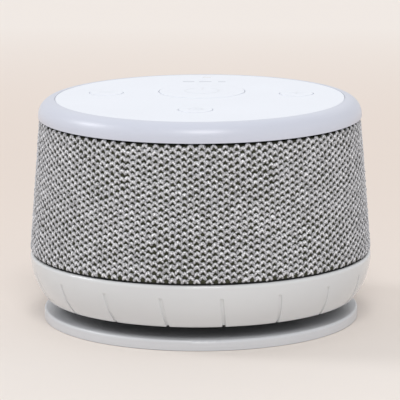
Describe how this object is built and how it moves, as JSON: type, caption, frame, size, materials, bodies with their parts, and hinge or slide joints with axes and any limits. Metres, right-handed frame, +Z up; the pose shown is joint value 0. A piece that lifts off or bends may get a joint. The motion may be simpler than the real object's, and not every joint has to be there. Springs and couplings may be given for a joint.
{
  "type": "white noise sound machine",
  "caption": "Round fan-driven sound machine: fabric-wrapped conical drum with a grooved tone collar, a flat foot and four flush buttons on top.",
  "frame": {"origin": "centre of the footprint, on the surface that the rubber pads stand on", "axes": "+Z up along the drum's axis, -Y the front with the single small button, +X the side of the plus button"},
  "size_m": [0.1502, 0.1502, 0.0974],
  "materials": {
    "shell_white": "moulded ABS, fine matt texture, cool white",
    "bezel_white": "moulded ABS, satin gloss, cool white",
    "plate_white": "moulded ABS, silky matt, white",
    "key_white": "moulded ABS, silky matt, white",
    "fabric_grey": "coarse knitted polyester, light grey yarn over dark backing",
    "housing_black": "moulded ABS, dark grey",
    "column_black": "moulded ABS, black",
    "slide_white": "acetal, waxy",
    "fan_white": "glass-filled nylon, natural",
    "rubber": "soft black elastomer",
    "steel": "zinc-plated steel",
    "shaft_steel": "ground steel",
    "screw_steel": "zinc-plated screw",
    "bronze": "oil-soaked sintered bronze",
    "brass": "turned brass",
    "magnet": "sintered ferrite",
    "winding": "enamelled copper wire on a steel stack",
    "board_green": "glass-epoxy laminate under green solder mask",
    "chip_black": "moulded epoxy",
    "capacitor": "drawn aluminium can",
    "switch_steel": "tinned steel cover",
    "plunger_black": "moulded nylon",
    "connector_cream": "moulded nylon",
    "led": "encapsulated diode",
    "clear_guide": "frosted polycarbonate",
    "lead_black": "PVC jacket",
    "lead_red": "PVC jacket"
  },
  "bodies": {
    "machine": {"foot_pads": "rubber", "foot_disc": "shell_white", "foot_column": "column_black", "foot_screws": "screw_steel", "dc_jack": "plunger_black", "dc_jack_pin": "shaft_steel", "base_pan": "housing_black", "pan_screws": "screw_steel", "glide_ring": "slide_white", "tone_housing": "housing_black", "chamber_lid": "housing_black", "lid_screws": "screw_steel", "motor_bracket": "steel", "isolators": "rubber", "bracket_screws": "screw_steel", "motor_can": "steel", "motor_magnets": "magnet", "motor_end_cap": "chip_black", "motor_bushes": "bronze", "motor_screws": "screw_steel", "motor_lead": "lead_red", "power_lead": "lead_black", "grille_cage": "housing_black", "cage_screws": "screw_steel", "fabric_sleeve": "fabric_grey", "top_bezel": "bezel_white", "bezel_screws": "screw_steel", "top_plate": "plate_white", "key_frame": "housing_black", "frame_screws": "screw_steel", "control_board": "board_green", "board_screws": "screw_steel", "switch_bodies": "switch_steel", "control_chip": "chip_black", "driver_chip": "chip_black", "board_capacitors": "capacitor", "lead_connectors": "connector_cream", "status_leds": "led", "status_light_guide": "clear_guide", "indicator_lens": "clear_guide"},
    "collar": {"tone_collar": "shell_white", "tone_shutter": "housing_black", "collar_screws": "screw_steel"},
    "rotor": {"motor_shaft": "shaft_steel", "armature": "winding", "thrust_washers": "slide_white", "impeller": "fan_white", "hub_insert": "brass", "hub_set_screw": "screw_steel"},
    "power_key": {"power_button": "key_white", "power_plunger": "plunger_black"},
    "minus_key": {"minus_button": "key_white", "minus_plunger": "plunger_black"},
    "plus_key": {"plus_button": "key_white", "plus_plunger": "plunger_black"},
    "timer_key": {"timer_button": "key_white", "timer_plunger": "plunger_black"}
  },
  "joints": [
    {"name": "collar_turn", "type": "hinge", "parent": "machine", "child": "collar", "pos_m": [0, 0, 0.02], "axis": [0, 0, 1], "range_deg": [0, 20]},
    {"name": "fan_spin", "type": "hinge", "parent": "machine", "child": "rotor", "pos_m": [0, 0, 0.05], "axis": [0, 0, 1], "continuous": true},
    {"name": "power_press", "type": "slide", "parent": "machine", "child": "power_key", "axis": [0, 0, -1], "range_m": [0, 0.0006], "stiffness_N_per_m": 2600, "springref_m": -0.0002},
    {"name": "minus_press", "type": "slide", "parent": "machine", "child": "minus_key", "axis": [0, 0, -1], "range_m": [0, 0.0006], "stiffness_N_per_m": 2600, "springref_m": -0.0002},
    {"name": "plus_press", "type": "slide", "parent": "machine", "child": "plus_key", "axis": [0, 0, -1], "range_m": [0, 0.0006], "stiffness_N_per_m": 2600, "springref_m": -0.0002},
    {"name": "timer_press", "type": "slide", "parent": "machine", "child": "timer_key", "axis": [0, 0, -1], "range_m": [0, 0.0006], "stiffness_N_per_m": 2600, "springref_m": -0.0002}
  ]
}
